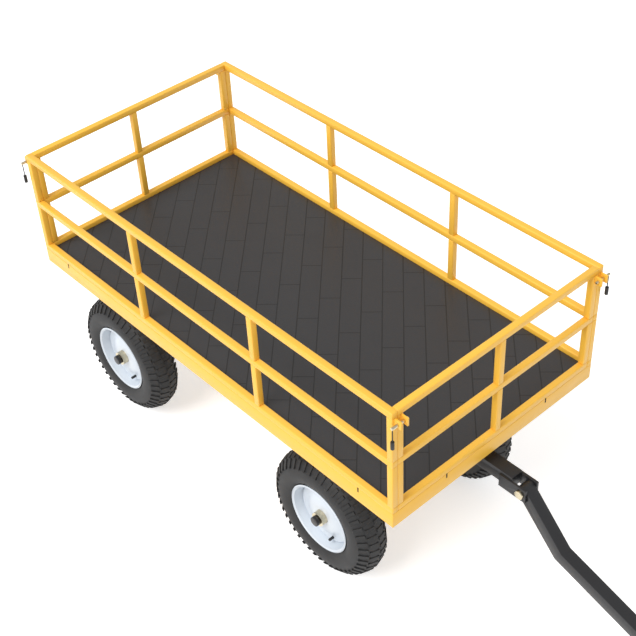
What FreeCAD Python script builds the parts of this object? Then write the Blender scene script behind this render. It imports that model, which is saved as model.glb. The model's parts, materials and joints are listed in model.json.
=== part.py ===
import FreeCAD, Part
import os
import re

Vector = FreeCAD.Vector
Rotation = FreeCAD.Rotation

# Driving dimensions in millimetres (angles in degrees). X runs forward to the handle, Y to the left.
sizes = {
    "bedLength": 1524, "bedWidth": 762, "panTop": 591, "sheet": 3, "skirtDepth": 49,
    "linerThick": 4, "linerGap": 1,
    "tube": 19, "panelHeight": 343, "sidePost": 254,
    "lugReach": 22, "lugThick": 5, "lugHeight": 24, "lugDrop": 30, "lugSpacing": 21.5,
    "latchRadius": 4, "latchLength": 54, "latchInset": 41, "latchClear": 0.1,
    "wireRadius": 1.5, "wireLength": 50, "gripPieceRadius": 5, "gripPieceLength": 24,
    "railInset": 50, "frameWidth": 30, "frameHeight": 40, "frameInset": 12,
    "frontOverhang": 374, "rearOverhang": 197, "tyreRadius": 203, "tyreSection": 58, "rimRadius": 112,
    "rimWall": 3, "rimWidth": 95, "webThick": 5, "webOffset": 12, "track": 520,
    "hubRadius": 22, "hubLength": 100, "spindleRadius": 10, "spindleClear": 0.08,
    "collarRadius": 16, "capRadius": 15, "capThick": 12, "endPlay": 1,
    "axleTube": 36, "axleHalf": 180, "supportTop": 220, "supportFoot": 50, "supportThick": 6,
    "steerHeight": 480, "beamSize": 36, "kingSpacing": 160, "kingRadius": 12, "pinClear": 0.08,
    "barrelRadius": 20, "barrelHeight": 40, "kingHeadRadius": 16, "kingHead": 7,
    "blockSize": 40, "blockHeight": 50, "stubLength": 80, "blockLong": 80, "blockWide": 30,
    "armLength": 80, "armWidth": 24, "armThick": 8, "plateThick": 8, "plateWidth": 50, "plateGap": 1,
    "plateBack": 30, "plateFront": 85, "steerPinRadius": 9, "steerHeadRadius": 14, "steerHead": 6,
    "tiePinRadius": 6, "eyeRadius": 14, "rodWidth": 20, "openClear": 0.5, "seat": 0.5,
    "tongueSize": 40, "tongueStart": 45, "tongueEnd": 447, "earThick": 7, "earLength": 90,
    "earHeight": 42, "pivotReach": 480, "pivotDrop": 10, "pivotRadius": 8, "boltHead": 13,
    "boltHeadThick": 7, "knuckleBarrel": 18, "shaftSize": 36, "neckLength": 195, "neckAngle": 47,
    "barAngle": 18, "loopLength": 120, "loopWidth": 104, "loopRadius": 11, "gripRadius": 16,
    "gripLength": 80,
}

# Places worked out from the driving dimensions.
places = {
    "frontAxle": "bedLength / 2 - frontOverhang",
    "rearAxle": "bedLength / 2 - rearOverhang",
    "railSpacing": "kingSpacing - railInset",
    "panelTop": "panTop + panelHeight",
    "bayHeight": "(panelHeight - 3 * tube) / 2",
    "axleHeight": "tyreRadius",
    "wheelPlane": "track / 2",
    "latchHeight": "panelTop - lugDrop",
    "frameTop": "panTop - sheet",
    "frameBase": "frameTop - frameHeight",
    "beamTop": "steerHeight + beamSize / 2",
    "barrelBase": "steerHeight - barrelHeight / 2",
    "barrelTop": "steerHeight + barrelHeight / 2",
    "leftArmBase": "barrelBase - seat - armThick - 1.5",
    "rightArmBase": "leftArmBase - armThick - 1",
    "leftRodBase": "leftArmBase - armThick - 1",
    "rightRodBase": "leftRodBase - armThick - 1",
    "plateBase": "steerHeight - beamSize / 2 - plateGap - plateThick",
    "plateTopBase": "beamTop + plateGap",
    "tieLine": "frontAxle + armLength",
    "pivotLine": "frontAxle + pivotReach",
    "pivotHeight": "steerHeight - pivotDrop",
    "bendLine": "pivotLine + neckLength * cos(neckAngle * 1 deg)",
    "bendHeight": "pivotHeight - neckLength * sin(neckAngle * 1 deg)",
    "reach": "(bendHeight - gripRadius) / sin(barAngle * 1 deg)",
    "barLength": "reach - loopLength - loopRadius",
    "gripLine": "bendLine + reach * cos(barAngle * 1 deg)",
    "loopLine": "gripLine - loopLength * cos(barAngle * 1 deg)",
    "loopHeight": "gripRadius + loopLength * sin(barAngle * 1 deg)",
    "originLine": "(gripLine + gripRadius - bedLength / 2 - lugReach) / 2",
}

doc = FreeCAD.newDocument("wagon")
sheet = doc.addObject("Spreadsheet::Sheet", "Sizes")
for row, (alias, value) in enumerate(sizes.items(), start=1):
    sheet.set(f"A{row}", alias)
    sheet.set(f"B{row}", str(value))
    sheet.setAlias(f"B{row}", alias)
doc.recompute()

nodes = []
along = {
    "x": Rotation(Vector(0, 1, 0), 90),
    "y": Rotation(Vector(1, 0, 0), -90),
    "z": Rotation(),
}


def expand(text):
    """Turn named places and sizes into one expression on the sheet."""
    def swap(match):
        word = match.group(0)
        if word in places:
            return f"({expand(places[word])})"
        return f"Sizes.{word}" if word in sizes else word
    return re.sub(r"[A-Za-z]\w*", swap, str(text))


def bind(item, **values):
    for name, text in values.items():
        item.setExpression(name.replace("_", "."), expand(text))
    return item


def put(item, x, y, z):
    return bind(item, Placement_Base_x=f"{x} - originLine", Placement_Base_y=y, Placement_Base_z=z)


def box(size, centre):
    """A block of the given lengths, centred in X and Y and standing on its Z."""
    length, width, height = size
    x, y, z = centre
    item = bind(doc.addObject("Part::Box", "Block"), Length=length, Width=width, Height=height)
    return put(item, f"{x} - ({length}) / 2", f"{y} - ({width}) / 2", z)


def rod(radius, length, start, axis="z"):
    item = bind(doc.addObject("Part::Cylinder", "Rod"), Radius=radius, Height=length)
    item.Placement = FreeCAD.Placement(Vector(), along[axis])
    return put(item, *start)


def mirrored(make):
    return [make(side) for side in (1, -1)]


def fuse(items):
    joined = doc.addObject("Part::MultiFuse", "Joined")
    joined.Shapes = items
    joined.Refine = True
    return joined


def cut(base, tool):
    result = doc.addObject("Part::Cut", "Cut")
    result.Base, result.Tool = base, tool
    return result


def group(items):
    pieces = doc.addObject("Part::Compound", "Pieces")
    pieces.Links = items
    return pieces


def keep(item, label):
    item.Label = label
    nodes.append(item)


def outward(side, start, length):
    """Where a rod along +Y starts so that it covers start to start + length on one side."""
    return start if side > 0 else f"-({start}) - ({length})"


def bed():
    shell = box(("bedLength", "bedWidth", "skirtDepth"), ("0", "0", "panTop - skirtDepth"))
    hollow = box(("bedLength - 2 * sheet", "bedWidth - 2 * sheet", "skirtDepth"),
                 ("0", "0", "panTop - skirtDepth - sheet"))
    keep(cut(shell, hollow), "bed_pan")
    inner = "2 * tube - 2 * linerGap"
    keep(box((f"bedLength - {inner}", f"bedWidth - {inner}", "linerThick"), ("0", "0", "panTop")), "bed_liner")
    length = "bedLength - 2 * frameInset"
    keep(group(mirrored(lambda side: box((length, "frameWidth", "frameHeight"),
                                         ("0", f"{side} * railSpacing", "frameBase")))), "frame_rails")


def bay_levels():
    return [f"panTop + {count} * (tube + bayHeight)" for count in range(3)]


def side_panel(side, name):
    plane = f"{side} * (bedWidth - tube) / 2"
    rails = [box(("bedLength", "tube", "tube"), ("0", plane, level)) for level in bay_levels()]
    keep(group(rails), f"{name}_rails")
    lines = ["-(bedLength - tube) / 2", "-sidePost", "sidePost", "(bedLength - tube) / 2"]
    posts = [box(("tube", "tube", "bayHeight"), (line, plane, f"{level} + tube"))
             for line in lines for level in bay_levels()[:2]]
    keep(group(posts), f"{name}_posts")


def end_panel(side, name):
    plane = f"{side} * (bedLength - tube) / 2"
    rails = [box(("tube", "bedWidth - 2 * tube", "tube"), (plane, "0", level)) for level in bay_levels()]
    keep(group(rails), f"{name}_rails")
    lines = ["-(bedWidth - 3 * tube) / 2", "0", "(bedWidth - 3 * tube) / 2"]
    posts = [box(("tube", "tube", "bayHeight"), (plane, line, f"{level} + tube"))
             for line in lines for level in bay_levels()[:2]]
    keep(group(posts), f"{name}_posts")


def corner_locks():
    corners = [(end, side) for end in (1, -1) for side in (1, -1)]
    lugs, pins, handles = [], [], []
    for end, side in corners:
        line = f"{end} * (bedLength + lugReach) / 2"
        outer = "(bedWidth - tube) / 2"
        for plane in (outer, f"{outer} - lugSpacing"):
            plate = box(("lugReach", "lugThick", "lugHeight"),
                        (line, f"{side} * ({plane})", "latchHeight - lugHeight / 2"))
            bore = rod("latchRadius + latchClear", "2 * lugThick",
                       (line, outward(side, f"{plane} - lugThick", "2 * lugThick"), "latchHeight"), "y")
            lugs.append(cut(plate, bore))
        pins.append(rod("latchRadius", "latchLength",
                        (line, outward(side, "bedWidth / 2 - latchInset", "latchLength"), "latchHeight"), "y"))
        hang = f"{side} * (bedWidth / 2 - latchInset + latchLength - 2 * wireRadius)"
        base = "latchHeight - latchRadius - wireLength"
        wire = rod("wireRadius", "wireLength", (line, hang, base))
        grip = rod("gripPieceRadius", "gripPieceLength", (line, hang, f"{base} - gripPieceLength / 2"))
        handles.append(fuse([wire, grip]))
    keep(group(lugs), "corner_lugs")
    keep(group(pins), "corner_pins")
    keep(group(handles), "pin_handles")


def stub(side, line, root):
    """Collar, spindle and end cap that carry one wheel, outward from its root."""
    inner = "wheelPlane - hubLength / 2 - endPlay"
    outer = "wheelPlane + hubLength / 2 + endPlay"
    parts = [("collarRadius", root, f"{inner} - ({root})"),
             ("spindleRadius", root, f"{outer} + capThick - ({root})"),
             ("capRadius", outer, "capThick")]
    return [rod(radius, length, (line, outward(side, start, length), "axleHeight"), "y")
            for radius, start, length in parts]


def rear_axle():
    tube = box(("axleTube", "2 * axleHalf", "axleTube"), ("-rearAxle", "0", "axleHeight - axleTube / 2"))
    ends = stub(1, "-rearAxle", "axleHalf - axleTube / 2") + stub(-1, "-rearAxle", "axleHalf - axleTube / 2")
    keep(fuse([tube] + ends), "rear_axle")
    height = "frameBase - axleHeight - axleTube / 2"

    def plate(side):
        wedge = bind(doc.addObject("Part::Wedge", "Plate"), Xmin="-supportFoot / 2", Xmax="supportFoot / 2",
                     X2min="-supportTop / 2", X2max="supportTop / 2", Ymin="0", Ymax=height,
                     Zmin="-supportThick / 2", Zmax="supportThick / 2",
                     Z2min="-supportThick / 2", Z2max="supportThick / 2")
        wedge.Placement = FreeCAD.Placement(Vector(), Rotation(Vector(1, 0, 0), 90))
        return put(wedge, "-rearAxle", f"{side} * railSpacing", "axleHeight + axleTube / 2")

    keep(group(mirrored(plate)), "rear_supports")


def front_beam():
    beam = box(("beamSize", "2 * kingSpacing", "beamSize"), ("frontAxle", "0", "steerHeight - beamSize / 2"))
    barrels = mirrored(lambda side: rod("barrelRadius", "barrelHeight",
                                        ("frontAxle", f"{side} * kingSpacing", "barrelBase")))
    bores = mirrored(lambda side: rod("kingRadius + pinClear", "2 * barrelHeight",
                                      ("frontAxle", f"{side} * kingSpacing", "barrelBase - barrelHeight / 2")))
    centre = rod("steerPinRadius + pinClear", "2 * beamSize", ("frontAxle", "0", "steerHeight - beamSize"))
    keep(cut(fuse([beam] + barrels), fuse(bores + [centre])), "front_beam")
    height = "frameBase - beamTop"
    keep(group(mirrored(lambda side: box(("blockLong", "blockWide", height),
                                         ("frontAxle", f"{side} * railSpacing", "beamTop")))), "front_supports")


def knuckle(side, name, base):
    """Kingpost, wheel spindle and steering arm in one forging."""
    plane = f"{side} * kingSpacing"
    low = "axleHeight - blockHeight / 2"
    pieces = [
        rod("kingRadius", f"barrelTop + endPlay + kingHead - ({low})", ("frontAxle", plane, low)),
        rod("kingHeadRadius", "kingHead", ("frontAxle", plane, "barrelTop + endPlay")),
        rod("barrelRadius", f"barrelBase - seat - ({base})", ("frontAxle", plane, base)),
        box(("blockSize", "blockSize", "blockHeight"), ("frontAxle", plane, low)),
        box(("armLength", "armWidth", "armThick"), ("frontAxle + armLength / 2", plane, base)),
        rod("armWidth / 2", "armThick", ("tieLine", plane, base)),
        rod("tiePinRadius", "armThick + 3", ("tieLine", plane, f"{base} - armThick - 2")),
    ]
    keep(fuse(pieces + stub(side, "frontAxle", "kingSpacing")), name)


def tie_rod(side, name, base):
    span = "kingSpacing"
    bar = box(("rodWidth", span, "armThick"), ("tieLine", f"{side} * {span} / 2", base))
    eyes = [rod("eyeRadius", "armThick", ("tieLine", place, base)) for place in ("0", f"{side} * {span}")]
    bores = [rod(f"tiePinRadius + {gap}", "3 * armThick", ("tieLine", place, f"{base} - armThick"))
             for place, gap in (("0", "pinClear"), (f"{side} * {span}", "openClear"))]
    keep(cut(fuse([bar] + eyes), fuse(bores)), name)


def tongue():
    span = "plateBack + plateFront"
    middle = "frontAxle + (plateFront - plateBack) / 2"
    plates = [box((span, "plateWidth", "plateThick"), (middle, "0", level)) for level in ("plateBase", "plateTopBase")]
    length = "tongueEnd - tongueStart"
    bar = box((length, "tongueSize", "tongueSize"),
              (f"frontAxle + tongueStart + ({length}) / 2", "0", "steerHeight - tongueSize / 2"))
    ears = mirrored(lambda side: box(("earLength", "earThick", "earHeight"),
                                     ("pivotLine + knuckleBarrel - earLength / 2",
                                      f"{side} * (tongueSize / 2 + earThick / 2 - 1)", "pivotHeight - earHeight / 2")))
    pin = rod("tiePinRadius", "plateBase + 2 - rightRodBase + 3", ("tieLine", "0", "rightRodBase - 3"))
    bores = [rod("steerPinRadius + pinClear", "3 * beamSize", ("frontAxle", "0", "steerHeight - 1.5 * beamSize")),
             rod("pivotRadius + pinClear", "3 * tongueSize", ("pivotLine", "-1.5 * tongueSize", "pivotHeight"), "y")]
    keep(cut(fuse(plates + [bar] + ears + [pin]), fuse(bores)), "tongue")
    base = "plateBase - steerHead"
    shank = rod("steerPinRadius", f"plateTopBase + plateThick - ({base})", ("frontAxle", "0", base))
    heads = [rod("steerHeadRadius", "steerHead", ("frontAxle", "0", level))
             for level in (base, "plateTopBase + plateThick")]
    keep(fuse([shank] + heads), "steering_pin")
    face = "tongueSize / 2 + earThick - 1"
    bolt = rod("pivotRadius", f"2 * ({face})", ("pivotLine", f"-({face})", "pivotHeight"), "y")
    caps = mirrored(lambda side: rod("boltHead", "boltHeadThick",
                                     ("pivotLine", outward(side, face, "boltHeadThick"), "pivotHeight"), "y"))
    keep(fuse([bolt] + caps), "handle_bolt")


def slanted(length, line, height, angle):
    """A square bar that runs forward and down from a point on the centre plane."""
    bar = bind(doc.addObject("Part::Box", "Bar"), Length=length, Width="shaftSize", Height="shaftSize")
    bar.Placement = FreeCAD.Placement(Vector(), Rotation(Vector(0, 1, 0), 1))
    bind(bar, Placement_Rotation_Angle=f"{angle} * 1 deg")
    return put(bar, f"{line} - sin({angle} * 1 deg) * shaftSize / 2", "-shaftSize / 2",
               f"{height} - cos({angle} * 1 deg) * shaftSize / 2")


def handle():
    barrel = rod("knuckleBarrel", "shaftSize", ("pivotLine", "-shaftSize / 2", "pivotHeight"), "y")
    bend = rod("shaftSize / 2", "shaftSize", ("bendLine", "-shaftSize / 2", "bendHeight"), "y")
    neck = slanted("neckLength", "pivotLine", "pivotHeight", "neckAngle")
    bar = slanted("barLength", "bendLine", "bendHeight", "barAngle")
    bore = rod("pivotRadius + pinClear", "2 * shaftSize", ("pivotLine", "-shaftSize", "pivotHeight"), "y")
    keep(cut(fuse([barrel, bend, neck, bar]), bore), "handle_shaft")
    bars = [rod("loopRadius", "loopWidth + 2 * loopRadius", (line, "-loopWidth / 2 - loopRadius", height), "y")
            for line, height in (("loopLine", "loopHeight"), ("gripLine", "gripRadius"))]
    for side in (1, -1):
        arm = bind(doc.addObject("Part::Cylinder", "Arm"), Radius="loopRadius", Height="loopLength")
        arm.Placement = FreeCAD.Placement(Vector(), Rotation(Vector(0, 1, 0), 1))
        bind(arm, Placement_Rotation_Angle="(90 + barAngle) * 1 deg")
        bars.append(put(arm, "loopLine", f"{side} * loopWidth / 2", "loopHeight"))
    keep(fuse(bars), "handle_loop")
    sleeve = rod("gripRadius", "gripLength", ("gripLine", "-gripLength / 2", "gripRadius"), "y")
    core = rod("loopRadius", "2 * gripLength", ("gripLine", "-gripLength", "gripRadius"), "y")
    keep(cut(sleeve, core), "handle_grip")


def tyre_ring():
    """Round tyre section, flat where it seats on the rim, spun about Y."""
    seat, outer, section = sheet.rimRadius, sheet.tyreRadius, sheet.tyreSection
    half = (section ** 2 - (outer - section - seat) ** 2) ** 0.5
    crown = Part.Arc(Vector(seat, -half, 0), Vector(outer, 0, 0), Vector(seat, half, 0)).toShape()
    bead = Part.LineSegment(Vector(seat, half, 0), Vector(seat, -half, 0)).toShape()
    return Part.Face(Part.Wire([crown, bead])).revolve(Vector(), Vector(0, 1, 0), 360)


def wheel(line, side, name):
    plane = f"{side} * wheelPlane"
    ring = doc.addObject("Part::Feature", "Ring")
    ring.Shape = tyre_ring()
    put(ring, line, plane, "axleHeight")
    keep(ring, f"{name}_tyre")
    barrel = rod("rimRadius", "rimWidth", (line, f"{plane} - rimWidth / 2", "axleHeight"), "y")
    hollow = rod("rimRadius - rimWall", "2 * rimWidth", (line, f"{plane} - rimWidth", "axleHeight"), "y")
    web_start = f"{side} * webOffset + {plane} - webThick / 2"
    web = rod("rimRadius - rimWall / 2", "webThick", (line, web_start, "axleHeight"), "y")
    seat = rod("hubRadius", "2 * rimWidth", (line, f"{plane} - rimWidth", "axleHeight"), "y")
    keep(cut(fuse([cut(barrel, hollow), web]), seat), f"{name}_rim")
    hub = rod("hubRadius", "hubLength", (line, f"{plane} - hubLength / 2", "axleHeight"), "y")
    bore = rod("spindleRadius + spindleClear", "2 * hubLength", (line, f"{plane} - hubLength", "axleHeight"), "y")
    keep(cut(hub, bore), f"{name}_hub")


bed()
side_panel(1, "left")
side_panel(-1, "right")
end_panel(1, "front")
end_panel(-1, "rear")
corner_locks()
rear_axle()
front_beam()
knuckle(1, "knuckle_left", "leftArmBase")
knuckle(-1, "knuckle_right", "rightArmBase")
tongue()
tie_rod(1, "tie_rod_left", "leftRodBase")
tie_rod(-1, "tie_rod_right", "rightRodBase")
handle()
for axle, line in (("front", "frontAxle"), ("rear", "-rearAxle")):
    for hand, side in (("left", 1), ("right", -1)):
        wheel(line, side, f"{axle}_{hand}")

doc.recompute()
faults = [item.Label for item in doc.Objects if {"Invalid", "Error"} & set(item.State)]
faults += [item.Label for item in nodes if item.Shape.isNull() or not item.Shape.isValid()]
if faults:
    raise RuntimeError(f"these pieces failed: {faults}")

os.makedirs("parts", exist_ok=True)
for item in nodes:
    item.Shape.exportStep(f"parts/{item.Label}.step")
    print(item.Label, len(item.Shape.Solids), round(item.Shape.Volume))
print("nodes", len(nodes))
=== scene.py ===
import json
import math
import bpy
from mathutils import Matrix, Vector

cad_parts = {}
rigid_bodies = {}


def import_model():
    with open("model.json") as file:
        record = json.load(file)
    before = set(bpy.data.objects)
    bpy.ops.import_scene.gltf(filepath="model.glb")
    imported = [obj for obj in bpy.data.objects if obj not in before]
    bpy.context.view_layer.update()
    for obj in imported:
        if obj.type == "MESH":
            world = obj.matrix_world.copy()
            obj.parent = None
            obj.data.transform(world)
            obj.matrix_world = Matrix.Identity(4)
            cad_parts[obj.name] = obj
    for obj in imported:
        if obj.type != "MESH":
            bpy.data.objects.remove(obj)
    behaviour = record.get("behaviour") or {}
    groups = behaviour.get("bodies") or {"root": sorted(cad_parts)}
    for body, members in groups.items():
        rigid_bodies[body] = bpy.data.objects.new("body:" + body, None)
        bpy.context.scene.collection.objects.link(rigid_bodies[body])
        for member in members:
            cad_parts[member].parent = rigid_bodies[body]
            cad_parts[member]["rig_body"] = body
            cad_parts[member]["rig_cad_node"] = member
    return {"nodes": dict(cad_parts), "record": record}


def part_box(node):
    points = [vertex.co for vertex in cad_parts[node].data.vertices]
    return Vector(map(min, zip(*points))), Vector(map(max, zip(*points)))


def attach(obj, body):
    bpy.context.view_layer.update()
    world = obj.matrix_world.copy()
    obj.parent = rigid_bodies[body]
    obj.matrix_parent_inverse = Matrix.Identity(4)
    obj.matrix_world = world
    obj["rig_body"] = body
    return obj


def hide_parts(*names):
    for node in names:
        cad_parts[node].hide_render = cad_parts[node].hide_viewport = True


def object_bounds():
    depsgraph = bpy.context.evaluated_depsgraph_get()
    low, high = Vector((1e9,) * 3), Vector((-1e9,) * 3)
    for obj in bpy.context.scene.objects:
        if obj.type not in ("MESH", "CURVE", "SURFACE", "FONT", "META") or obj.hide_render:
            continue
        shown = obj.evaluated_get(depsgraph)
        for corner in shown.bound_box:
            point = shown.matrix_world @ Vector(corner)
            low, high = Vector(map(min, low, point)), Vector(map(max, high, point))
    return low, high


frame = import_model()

nodes = frame["nodes"]
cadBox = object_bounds()
panLow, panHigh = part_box("bed_pan")
bedMiddle = (panLow + panHigh) / 2
quarterTurn = math.radians(90)


class Signal:
    # wraps a socket, so that shader maths reads as plain sums
    def __init__(self, tree, socket):
        self.tree, self.socket = tree, socket

    def make(self, kind, settings=None, **inputs):
        node = self.tree.nodes.new(kind)
        for name, value in (settings or {}).items():
            setattr(node, name, value)
        for name, value in inputs.items():
            target = node.inputs[int(name[1:])] if name[1:].isdigit() else node.inputs[name.replace("_", " ")]
            if isinstance(value, Signal):
                self.tree.links.new(value.socket, target)
            else:
                target.default_value = value
        return Signal(self.tree, node.outputs[0])

    def maths(self, operation, first, second=0.0):
        return self.make("ShaderNodeMath", {"operation": operation}, i0=first, i1=second)

    def __add__(self, other):
        return self.maths("ADD", self, other)

    def __sub__(self, other):
        return self.maths("SUBTRACT", self, other)

    def __rsub__(self, other):
        return self.maths("SUBTRACT", other, self)

    def __mul__(self, other):
        return self.maths("MULTIPLY", self, other)

    __radd__ = __add__
    __rmul__ = __mul__

    def floor(self):
        return self.maths("FLOOR", self)

    def fraction(self):
        return self.maths("FRACT", self)

    def below(self, limit):
        return self.maths("LESS_THAN", self, limit)

    def larger(self, other):
        return self.maths("MAXIMUM", self, other)


def newMaterial(name, colour, rough, metallic=0.0, coat=0.0):
    material = bpy.data.materials.new(name)
    material.use_nodes = True
    tree = material.node_tree
    shader = tree.nodes["Principled BSDF"]
    shader.inputs["Base Color"].default_value = (*colour, 1)
    shader.inputs["Roughness"].default_value = rough
    shader.inputs["Metallic"].default_value = metallic
    shader.inputs["Coat Weight"].default_value = coat
    place = Signal(tree, tree.nodes.new("ShaderNodeTexCoord").outputs["Object"])
    return material, shader, place


def mixColour(signal, factor, first, second):
    mixed = signal.make("ShaderNodeMix", {"data_type": "RGBA"}, i0=factor, i6=(*first, 1), i7=(*second, 1))
    mixed.socket = mixed.socket.node.outputs[2]  # the colour result
    return mixed


def plug(signal, shader, name):
    signal.tree.links.new(signal.socket, shader.inputs[name])


def grain(place, scale, detail=3.0):
    return place.make("ShaderNodeTexNoise", None, Vector=place, Scale=scale, Detail=detail)


def bump(height, shader, strength, distance):
    plug(height.make("ShaderNodeBump", None, Strength=strength, Distance=distance, Height=height), shader, "Normal")


# patches are the scales of colour and gloss variation per metre, swing is how far the gloss varies
coatSettings = {"patches": (3.0, 18.0), "swing": 0.14, "peel": 0.18, "depth": 0.0004}
plainSettings = {"patches": (11.0, 30.0), "swing": 0.16, "shade": 0.78, "depth": 0.0006}
matSettings = {"spacing": 0.061, "groove": 0.05, "courses": 4.0, "shift": 0.37, "toneStep": 0.618, "tone": 0.1,
               "patches": 9.0, "gloss": (0.32, 0.2), "pebble": 260.0, "pebbleHeight": 0.25, "relief": 0.5,
               "depth": 0.002}


def powderCoat(name, light, dark, rough, scale):
    material, shader, place = newMaterial(name, light, rough)
    colourPatch, glossPatch = coatSettings["patches"]
    swing = coatSettings["swing"]
    plug(mixColour(place, grain(place, colourPatch), dark, light), shader, "Base Color")
    plug(grain(place, glossPatch) * swing + (rough - swing / 2), shader, "Roughness")
    bump(grain(place, scale, 2.0), shader, coatSettings["peel"], coatSettings["depth"])
    return material


def plainMaterial(name, colour, rough, metallic=0.0, scale=120.0, strength=0.15, coat=0.0):
    material, shader, place = newMaterial(name, colour, rough, metallic, coat)
    colourPatch, glossPatch = plainSettings["patches"]
    swing = plainSettings["swing"]
    darker = tuple(plainSettings["shade"] * value for value in colour)
    plug(mixColour(place, grain(place, colourPatch), darker, colour), shader, "Base Color")
    plug(grain(place, glossPatch) * swing + (rough - swing / 2), shader, "Roughness")
    bump(grain(place, scale), shader, strength, plainSettings["depth"])
    return material


def linerMaterial():
    # planks at 45 degrees, each course shifted along from the last
    material, shader, place = newMaterial("linerRubber", (0.03, 0.03, 0.032), 0.5)
    split = place.tree.nodes.new("ShaderNodeSeparateXYZ")
    place.tree.links.new(place.socket, split.inputs[0])
    x, y = (Signal(place.tree, split.outputs[i]) for i in range(2))
    pitch = math.sqrt(2) * matSettings["spacing"]
    width, courses = matSettings["groove"], matSettings["courses"]
    across = (x + y) * (1 / pitch)
    along = (x - y) * (1 / (pitch * courses))
    course = across.floor()
    shifted = along + course * matSettings["shift"]
    longGroove = across.fraction().below(width)
    shortGroove = shifted.fraction().below(width / courses)
    groove = longGroove.larger(shortGroove)
    plug(mixColour(place, groove, (0.036, 0.035, 0.037), (0.013, 0.013, 0.013)), shader, "Base Color")
    tone = (course * matSettings["toneStep"]).fraction() * matSettings["tone"]
    gloss, swing = matSettings["gloss"]
    plug(grain(place, matSettings["patches"]) * swing + gloss + tone, shader, "Roughness")
    height = groove * -1.0 + grain(place, matSettings["pebble"]) * matSettings["pebbleHeight"]
    bump(height, shader, matSettings["relief"], matSettings["depth"])
    return material


yellowPaint = powderCoat("yellowPowderCoat", (1.0, 0.58, 0.075), (0.97, 0.53, 0.055), 0.4, 700.0)
blackPaint = powderCoat("blackPowderCoat", (0.022, 0.022, 0.024), (0.014, 0.014, 0.016), 0.38, 500.0)
whitePaint = plainMaterial("rimEnamel", (0.72, 0.78, 0.85), 0.32, strength=0.04, coat=0.3)
tyreRubber = plainMaterial("tyreRubber", (0.018, 0.018, 0.019), 0.62, scale=220.0, strength=0.3)
gripRubber = plainMaterial("gripRubber", (0.015, 0.015, 0.016), 0.5, scale=300.0, strength=0.35)
zincPlate = plainMaterial("zincPlate", (0.72, 0.64, 0.46), 0.3, metallic=1.0, strength=0.06)
# painted shade: a near-black brown for the shade seen inside the panel slots
slotShadePaint = plainMaterial("slotShadow", (0.02, 0.012, 0.004), 0.8)
linerRubber = linerMaterial()
finishes = {"yellow_paint": yellowPaint, "black_paint": blackPaint, "white_paint": whitePaint, "liner": linerRubber,
            "grip": gripRubber, "zinc": zincPlate, "tyre": tyreRubber}
nodeSlot = {entry["node"]: entry["material_slot"] for entry in frame["record"]["subparts"]}
print("materials ready")


def deselectAll():
    bpy.ops.object.select_all(action="DESELECT")


def dress(piece, material, body):
    piece.data.materials.clear()
    piece.data.materials.append(material)
    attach(piece, body)


def applyPlace():
    bpy.ops.object.transform_apply(location=True, rotation=True, scale=True)


def applyAll(piece):
    bpy.context.view_layer.objects.active = piece
    for modifier in list(piece.modifiers):
        bpy.ops.object.modifier_apply(modifier=modifier.name)


def bevelEdges(piece, width, segments=1, angle=30):
    edge = piece.modifiers.new("edge", "BEVEL")
    edge.width = width
    edge.segments = segments
    edge.limit_method = "ANGLE"
    edge.angle_limit = math.radians(angle)
    applyAll(piece)


def smooth(angle):
    bpy.ops.object.shade_smooth_by_angle(angle=math.radians(angle))


def joinPieces(parts):
    deselectAll()
    for part in parts:
        part.select_set(True)
    bpy.context.view_layer.objects.active = parts[0]
    bpy.ops.object.join()
    return bpy.context.object


softEdges = {"rails": 0.0022, "frame": 0.0016, "small": 0.0008, "weld": 0.00002, "flat": 0.4}


def softenEdges(name, width):
    # a copy of the CAD node with its edges eased, in the node's own finish
    source = nodes[name]
    piece = source.copy()
    piece.data = source.data.copy()
    piece.name = name + "_finished"
    piece.parent = None
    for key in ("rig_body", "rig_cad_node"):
        del piece[key]
    bpy.context.scene.collection.objects.link(piece)
    deselectAll()
    piece.select_set(True)
    bpy.context.view_layer.objects.active = piece
    bpy.ops.object.mode_set(mode="EDIT")
    bpy.ops.mesh.select_all(action="SELECT")
    bpy.ops.mesh.remove_doubles(threshold=softEdges["weld"])
    bpy.ops.mesh.dissolve_limited(angle_limit=math.radians(softEdges["flat"]))
    bpy.ops.object.mode_set(mode="OBJECT")
    bevelEdges(piece, width, segments=2, angle=40)
    smooth(32)
    dress(piece, finishes[nodeSlot[name]], source["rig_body"])
    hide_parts(name)


for name in nodes:
    if name.endswith(("_rails", "_posts")) and name != "frame_rails":
        softenEdges(name, softEdges["rails"])
for name in ("bed_pan", "frame_rails", "front_supports", "rear_supports", "front_beam", "rear_axle", "tongue",
             "handle_shaft", "knuckle_left", "knuckle_right", "tie_rod_left", "tie_rod_right"):
    softenEdges(name, softEdges["frame"])
for name in ("corner_lugs", "corner_pins", "pin_handles", "steering_pin", "handle_bolt"):
    softenEdges(name, softEdges["small"])
for name, piece in nodes.items():
    piece.data.materials.clear()
    piece.data.materials.append(finishes[nodeSlot[name]])
print("frame pieces finished")

# rows of lugs: how far towards the sidewall, and how far round from the last row, in steps
tyre = {"lugs": 46, "lugLength": 0.030, "lugWidth": 0.0105, "lugDepth": 0.0028, "segments": 120,
        "ringSegments": 36, "slope": 52, "inset": 0.0005, "crownInset": 0.001, "rows": ((0.95, 0.0), (0.32, 0.45)),
        "sink": 0.9, "stand": 1.5, "beadGap": 0.0004, "edge": 0.0008}
rim = {"lip": 0.1118, "depth": 0.0475, "sheet": 0.0028, "segments": 72}
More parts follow.
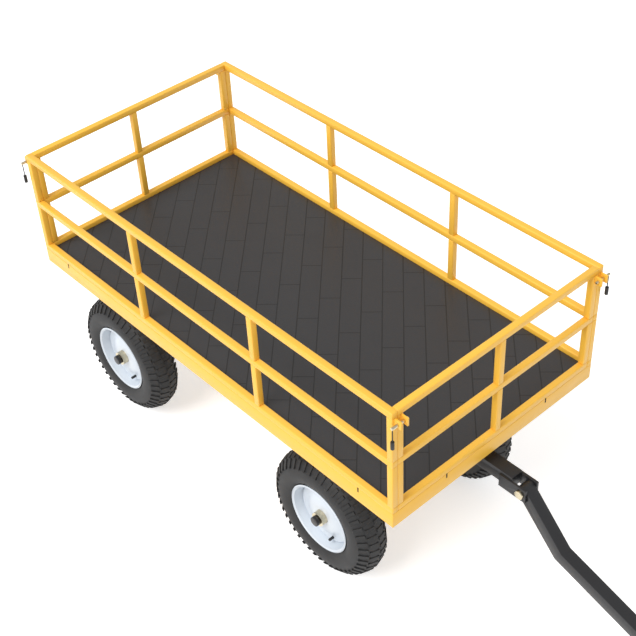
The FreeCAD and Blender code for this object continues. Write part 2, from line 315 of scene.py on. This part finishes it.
# rings of the rim, each a radius and how far out from the wheel's middle
rim["barrel"] = [(0.098, -rim["depth"] * 0.9), (0.098, 0.010), (rim["lip"] - 0.010, 0.030),
                 (rim["lip"] - 0.007, rim["depth"] - 0.003), (rim["lip"] - 0.003, rim["depth"]),
                 (rim["lip"], rim["depth"] - 0.002)]
rim["face"] = [(0.0975, 0.014), (0.092, 0.019), (0.074, 0.0185), (0.066, 0.022), (0.050, 0.029), (0.034, 0.030),
               (0.0225, 0.030)]
stem = {"forward": 0.030, "out": 0.022, "up": -0.075, "radius": 0.0042, "length": 0.03, "edge": 0.0012}


def ringProfile(rings, centre, side):
    # a ring extruded and resized from each pair of radius and place to the next
    deselectAll()
    radius, out = rings[0]
    bpy.ops.mesh.primitive_circle_add(vertices=rim["segments"], radius=radius, rotation=(quarterTurn, 0, 0),
                                      location=centre + Vector((0, side * out, 0)))
    piece = bpy.context.object
    applyPlace()
    bpy.ops.object.mode_set(mode="EDIT")
    bpy.ops.mesh.select_all(action="SELECT")
    for before, after in zip(rings, rings[1:]):
        step = (0, side * (after[1] - before[1]), 0)
        bpy.ops.mesh.extrude_region_move(TRANSFORM_OT_translate={"value": step})
        ratio = after[0] / before[0]
        bpy.ops.transform.resize(value=(ratio, 1, ratio))
    bpy.ops.mesh.select_all(action="SELECT")
    bpy.ops.mesh.normals_make_consistent(inside=False)
    bpy.ops.object.mode_set(mode="OBJECT")
    wall = piece.modifiers.new("wall", "SOLIDIFY")
    wall.thickness = rim["sheet"]
    wall.offset = 0
    applyAll(piece)
    return piece


def makeRim(name, body, centre, side):
    piece = joinPieces([ringProfile(rim[part], centre, side) for part in ("barrel", "face")])
    piece.name = name + "_rim_dish"
    smooth(40)
    dress(piece, whitePaint, body)
    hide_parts(name + "_rim")


def makeLug(centre, reach, angle, lean, section):
    # one block on the tread, leaned from the crown towards the sidewall
    tilt = math.radians(tyre["slope"]) * lean
    out = section * math.sin(tilt)
    radius = reach - section + (section - tyre["lugDepth"] * tyre["sink"]) * math.cos(tilt)
    bpy.ops.mesh.primitive_cube_add(size=1)
    lug = bpy.context.object
    lug.scale = (tyre["lugWidth"], tyre["lugLength"], tyre["lugDepth"] * tyre["stand"])
    bpy.ops.object.transform_apply(location=False, rotation=False, scale=True)
    turn = Matrix.Rotation(angle, 4, "Y")
    slope = Matrix.Rotation(-tilt, 4, "X")
    lug.data.transform(Matrix.Translation(centre) @ turn @ Matrix.Translation((0, out, radius)) @ slope)
    return lug


def makeTyre(name, body, low, high):
    centre = (low + high) / 2
    reach = (high.z - low.z) / 2
    section = (high.y - low.y) / 2 - tyre["inset"]
    deselectAll()
    bpy.ops.mesh.primitive_torus_add(major_radius=reach - section, minor_radius=section - tyre["lugDepth"],
                                     location=centre, rotation=(quarterTurn, 0, 0),
                                     major_segments=tyre["segments"], minor_segments=tyre["ringSegments"])
    casing = bpy.context.object
    applyPlace()
    bead = rim["lip"] + tyre["beadGap"]
    for vertex in casing.data.vertices:
        offset = vertex.co - centre
        radius = math.hypot(offset.x, offset.z)
        if radius < bead:  # the inside of the ring is pressed flat on the rim
            grow = bead / radius
            vertex.co = centre + Vector((offset.x * grow, offset.y, offset.z * grow))
    pieces = [casing]
    step = 2 * math.pi / tyre["lugs"]
    for index in range(tyre["lugs"]):
        for side in (1, -1):
            shift = 0.5 if side > 0 else 0
            for lean, along in tyre["rows"]:
                deselectAll()
                pieces.append(makeLug(centre, reach - tyre["crownInset"], (index + shift + along) * step,
                                      side * lean, section))
    casing = joinPieces(pieces)
    bevelEdges(casing, tyre["edge"], angle=60)
    smooth(35)
    casing.name = name + "_treaded_tyre"
    dress(casing, tyreRubber, body)
    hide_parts(name + "_tyre")


def makeStem(name, body, centre, side):
    deselectAll()
    place = centre + Vector((stem["forward"], side * stem["out"], stem["up"]))
    bpy.ops.mesh.primitive_cylinder_add(vertices=16, radius=stem["radius"], depth=stem["length"], location=place,
                                        rotation=(quarterTurn, 0, 0))
    piece = bpy.context.object
    applyPlace()
    bevelEdges(piece, stem["edge"])
    smooth(40)
    piece.name = name + "_valve_stem"
    dress(piece, gripRubber, body)


for axle in ("front", "rear"):
    for hand, side in (("left", 1), ("right", -1)):
        name = f"{axle}_{hand}"
        low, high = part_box(name + "_tyre")
        middle = (low + high) / 2
        makeTyre(name, name + "_wheel", low, high)
        makeRim(name, name + "_wheel", middle, side)
        makeStem(name, name + "_wheel", middle, side)
print("wheels finished")

slotSize = {"width": 0.0045, "height": 0.016, "proud": 0.0006, "sideReach": 0.64, "endReach": 0.19,
            "drop": 0.006, "edge": 0.0005}


def makeSlots():
    # two slots in each side of the skirt, where the panels hook in, drawn as thin dark boxes of painted shade on the
    # surface in place of the openings
    level = panHigh.z - slotSize["drop"]
    thin, broad, tall = 2 * slotSize["proud"], slotSize["width"], slotSize["height"]
    marks = []
    for side in (1, -1):
        for end in (1, -1):
            face = panHigh.x if side > 0 else panLow.x
            marks.append(((bedMiddle.x + end * slotSize["sideReach"], side * panHigh.y, level), (broad, thin, tall)))
            marks.append(((face, end * slotSize["endReach"], level), (thin, broad, tall)))
    parts = []
    for place, size in marks:
        deselectAll()
        bpy.ops.mesh.primitive_cube_add(size=1, location=place)
        mark = bpy.context.object
        mark.scale = size
        applyPlace()
        parts.append(mark)
    piece = joinPieces(parts)
    bevelEdges(piece, slotSize["edge"])
    piece.name = "panel_slot_shade"
    dress(piece, slotShadePaint, "wagon_bed")


makeSlots()
print("details finished")

stage = {"size": 30.0, "gap": 0.0005, "pale": (0.86, 0.86, 0.86), "rough": 0.9, "glow": 0.55, "world": 0.62,
         "sun": 2.1, "sunTurn": (38, -18, 20), "sunSize": 35}


def makeFloor():
    deselectAll()
    bpy.ops.mesh.primitive_plane_add(size=stage["size"], location=(bedMiddle.x, 0, cadBox[0].z - stage["gap"]))
    floor = bpy.context.object
    floor.name = "studio_floor"
    material, shader = newMaterial("studioFloor", stage["pale"], stage["rough"])[:2]
    tree = material.node_tree
    glows = []
    for strength in (0.0, stage["glow"]):
        glow = tree.nodes.new("ShaderNodeEmission")
        glow.inputs["Strength"].default_value = strength
        glows.append(glow)
    path = tree.nodes.new("ShaderNodeLightPath")
    seen = Signal(tree, path.outputs["Is Camera Ray"]).larger(Signal(tree, path.outputs["Is Glossy Ray"]))
    choose = tree.nodes.new("ShaderNodeMixShader")  # the glow shows to the camera and in gloss alone
    tree.links.new(seen.socket, choose.inputs[0])
    for place, glow in enumerate(glows, start=1):
        tree.links.new(glow.outputs[0], choose.inputs[place])
    total = tree.nodes.new("ShaderNodeAddShader")
    tree.links.new(shader.outputs[0], total.inputs[0])
    tree.links.new(choose.outputs[0], total.inputs[1])
    tree.links.new(total.outputs[0], tree.nodes["Material Output"].inputs["Surface"])
    floor.data.materials.append(material)


def makeLights():
    world = bpy.data.worlds.new("studio")
    bpy.context.scene.world = world
    world.use_nodes = True
    background = world.node_tree.nodes["Background"]
    background.inputs["Color"].default_value = (1, 1, 1, 1)
    background.inputs["Strength"].default_value = stage["world"]
    deselectAll()
    bpy.ops.object.light_add(type="SUN", rotation=[math.radians(turn) for turn in stage["sunTurn"]])
    sun = bpy.context.object
    sun.data.energy = stage["sun"]
    sun.data.angle = math.radians(stage["sunSize"])


makeFloor()
makeLights()

# place is counted from the middle of the top rails, in lengths of the bed; the angles are radians
camera = {"place": (1.454, -1.1918, 1.3385), "unit": 1.524, "yaw": 2.43781, "pitch": 0.70720, "roll": 0.05738,
          "lens": 72.29, "sensor": 36}


def makeCamera():
    yaw, pitch, roll = camera["yaw"], camera["pitch"], camera["roll"]
    ahead = Vector((math.cos(yaw) * math.cos(pitch), math.sin(yaw) * math.cos(pitch), -math.sin(pitch)))
    right = ahead.cross(Vector((0, 0, 1))).normalized()
    down = ahead.cross(right)
    across = right * math.cos(roll) + down * math.sin(roll)
    below = down * math.cos(roll) - right * math.sin(roll)
    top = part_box("left_rails")[1].z
    place = Vector(camera["place"]) * camera["unit"] + Vector((bedMiddle.x, 0, top))
    deselectAll()
    bpy.ops.object.camera_add()
    view = bpy.context.object
    turn = Matrix((across, -below, -ahead)).transposed()
    view.matrix_world = Matrix.Translation(place) @ turn.to_4x4()
    view.data.lens = camera["lens"]
    view.data.sensor_width = camera["sensor"]
    bpy.context.scene.camera = view


makeCamera()
bpy.context.scene.view_settings.view_transform = "Standard"
print("stage and camera ready")
